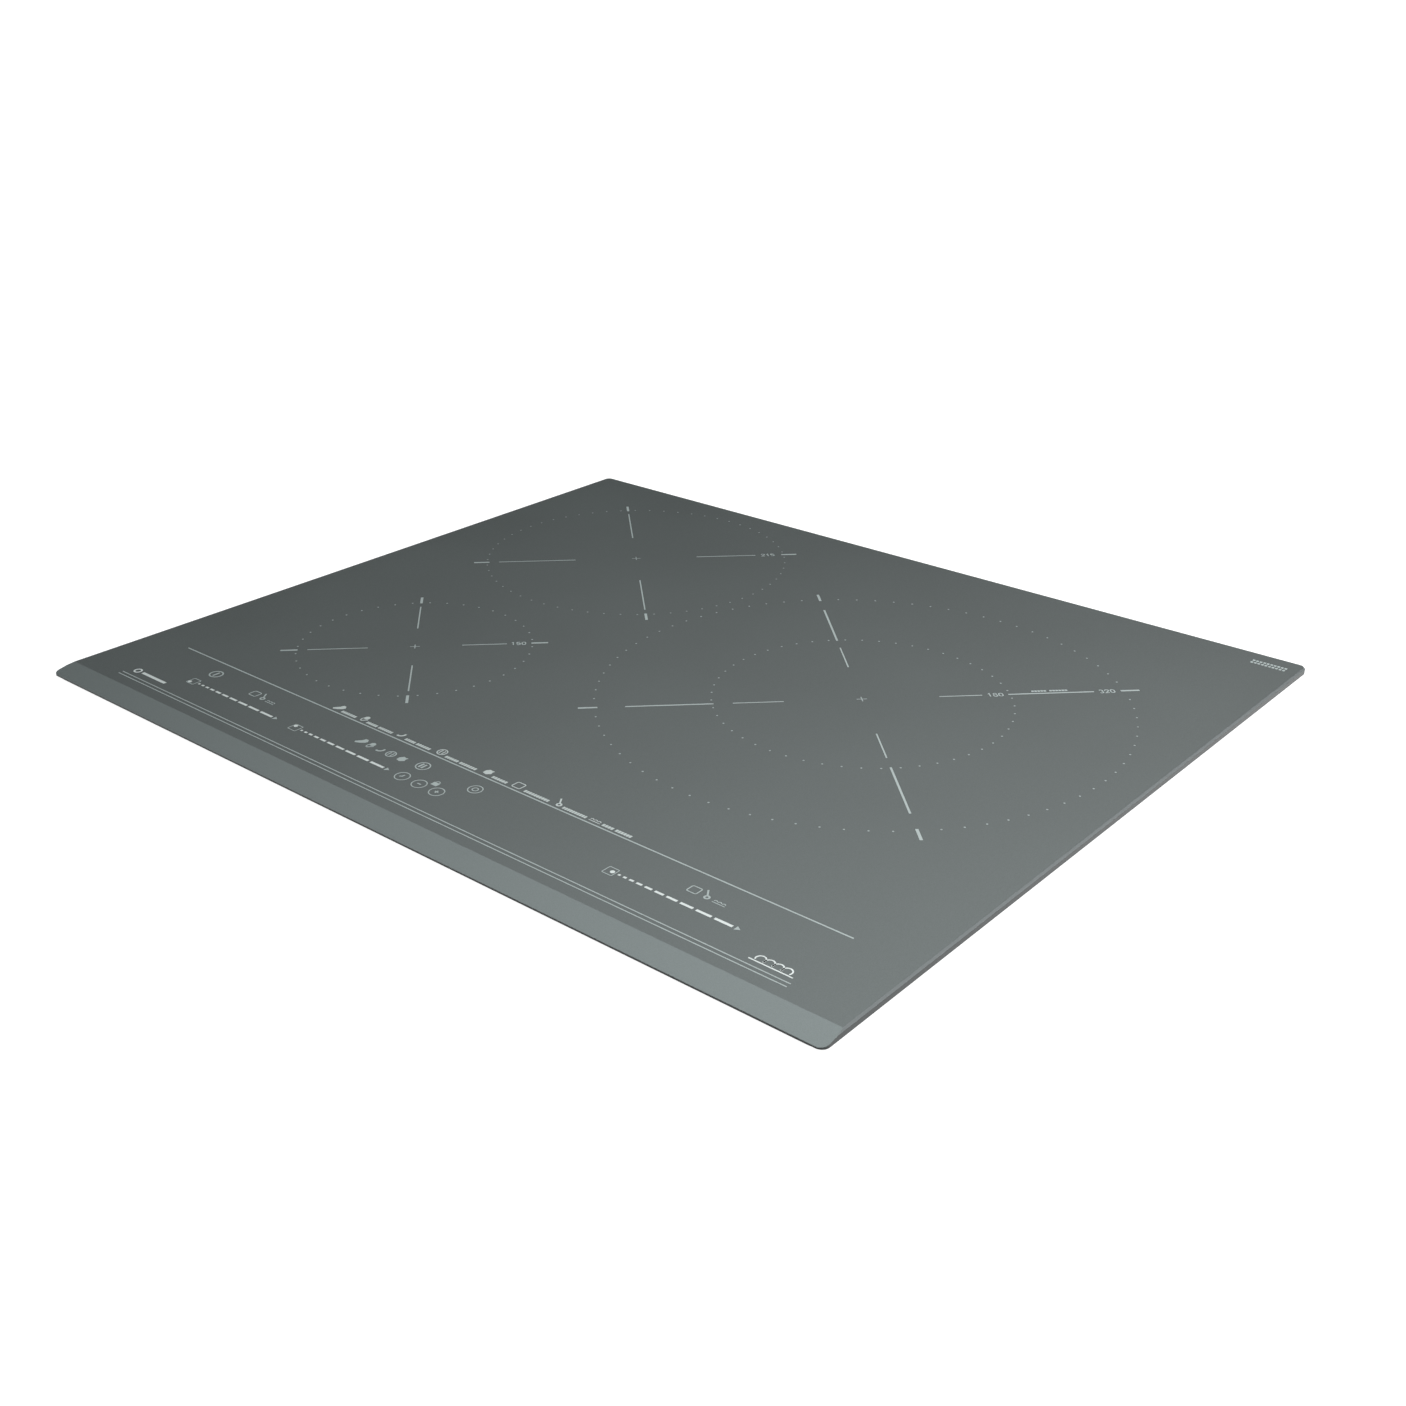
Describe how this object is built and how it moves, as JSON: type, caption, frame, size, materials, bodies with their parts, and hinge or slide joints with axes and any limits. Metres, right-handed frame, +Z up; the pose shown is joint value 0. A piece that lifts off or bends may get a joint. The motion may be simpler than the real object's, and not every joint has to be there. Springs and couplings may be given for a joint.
{
  "type": "induction cooktop",
  "caption": "Built-in glass-ceramic induction cooktop with a bevelled front edge, touch sliders, ring-marked cooking zones and a sheet-metal housing.",
  "frame": {"origin": "centre of the worktop cut-out, at the worktop's surface, which is the underside of the foam seal", "axes": "+Z up out of the worktop, +X to the right as the user stands, +Y to the rear; the bevelled front edge faces -Y"},
  "size_m": [0.59, 0.512, 0.0535],
  "materials": {
    "glass": "stone-grey glass-ceramic, satin gloss",
    "foam": "closed-cell foam tape",
    "silicone": "cured silicone",
    "galvanised_steel": "zinc-coated sheet",
    "screw_steel": "zinc-plated",
    "sheet_aluminium": "mill finish",
    "heat_sink_aluminium": "extruded",
    "spring_steel": "bright",
    "clamp_steel": "zinc-plated",
    "natural_nylon": "natural nylon",
    "lead_sleeve": "silicone sleeve",
    "ribbon": "flat cable",
    "copper_litz": "enamelled copper strands",
    "ferrite": "sintered ferrite",
    "mica": "pressed mica sheet",
    "sensor_metal": "cap",
    "sensor_silicone": "moulded silicone",
    "circuit_board": "solder resist on glass-fibre board",
    "black_plastic": "moulded",
    "wheel_plastic": "moulded",
    "component_epoxy": "epoxy",
    "capacitor_case": "box film capacitor"
  },
  "bodies": {
    "hob": {"glass_panel": "glass", "worktop_seal": "foam", "bond_bead": "silicone", "bond_frame": "galvanised_steel", "base_pan": "galvanised_steel", "housing_screws": "screw_steel", "coil_tray": "sheet_aluminium", "tray_posts": "natural_nylon", "carrier_springs": "spring_steel", "coil_leads": "lead_sleeve", "carrier_front_left": "sheet_aluminium", "winding_front_left": "copper_litz", "ferrites_front_left": "ferrite", "insulator_front_left": "mica", "carrier_rear_left": "sheet_aluminium", "winding_rear_left": "copper_litz", "ferrites_rear_left": "ferrite", "insulator_rear_left": "mica", "carrier_right": "sheet_aluminium", "winding_right_inner": "copper_litz", "winding_right_outer": "copper_litz", "ferrites_right": "ferrite", "insulator_right": "mica", "temperature_sensors": "sensor_metal", "sensor_cups": "sensor_silicone", "board_tray_left": "black_plastic", "power_board_left": "circuit_board", "heat_sink_left": "heat_sink_aluminium", "transistors_left": "component_epoxy", "capacitors_left": "capacitor_case", "choke_left": "copper_litz", "board_tray_right": "black_plastic", "power_board_right": "circuit_board", "heat_sink_right": "heat_sink_aluminium", "transistors_right": "component_epoxy", "capacitors_right": "capacitor_case", "choke_right": "copper_litz", "filter_board": "circuit_board", "filter_choke": "copper_litz", "filter_capacitors": "capacitor_case", "blower_housing_left": "black_plastic", "blower_motor_left": "copper_litz", "blower_housing_right": "black_plastic", "blower_motor_right": "copper_litz", "touch_board": "circuit_board", "touch_board_holder": "black_plastic", "key_springs": "spring_steel", "ribbon_cable": "ribbon", "terminal_box": "natural_nylon", "terminal_block": "natural_nylon", "cable_gland": "black_plastic"},
    "terminal_cover": {"terminal_cover": "natural_nylon"},
    "blower_wheel_left": {"blower_wheel_left": "wheel_plastic", "blower_shaft_left": "screw_steel"},
    "blower_wheel_right": {"blower_wheel_right": "wheel_plastic", "blower_shaft_right": "screw_steel"},
    "clamp_front_left": {"clamp_front_left": "clamp_steel"},
    "clamp_front_right": {"clamp_front_right": "clamp_steel"},
    "clamp_rear_left": {"clamp_rear_left": "clamp_steel"},
    "clamp_rear_right": {"clamp_rear_right": "clamp_steel"}
  },
  "joints": [
    {"name": "blower_left_spin", "type": "hinge", "parent": "hob", "child": "blower_wheel_left", "pos_m": [-0.096, 0.178, -0.035], "axis": [0, 0, 1], "continuous": true},
    {"name": "blower_right_spin", "type": "hinge", "parent": "hob", "child": "blower_wheel_right", "pos_m": [0.096, 0.178, -0.035], "axis": [0, 0, 1], "continuous": true},
    {"name": "terminal_cover_hinge", "type": "hinge", "parent": "hob", "child": "terminal_cover", "pos_m": [-0.201, 0.1825, -0.0432], "axis": [-1, 0, 0], "range_deg": [0, 95]},
    {"name": "clamp_front_left_swivel", "type": "hinge", "parent": "hob", "child": "clamp_front_left", "pos_m": [-0.268, -0.15, -0.035], "axis": [0, 0, -1], "range_deg": [0, 90]},
    {"name": "clamp_front_right_swivel", "type": "hinge", "parent": "hob", "child": "clamp_front_right", "pos_m": [0.268, -0.15, -0.035], "axis": [0, 0, 1], "range_deg": [0, 90]},
    {"name": "clamp_rear_left_swivel", "type": "hinge", "parent": "hob", "child": "clamp_rear_left", "pos_m": [-0.268, 0.15, -0.035], "axis": [0, 0, -1], "range_deg": [0, 90]},
    {"name": "clamp_rear_right_swivel", "type": "hinge", "parent": "hob", "child": "clamp_rear_right", "pos_m": [0.268, 0.15, -0.035], "axis": [0, 0, 1], "range_deg": [0, 90]}
  ]
}
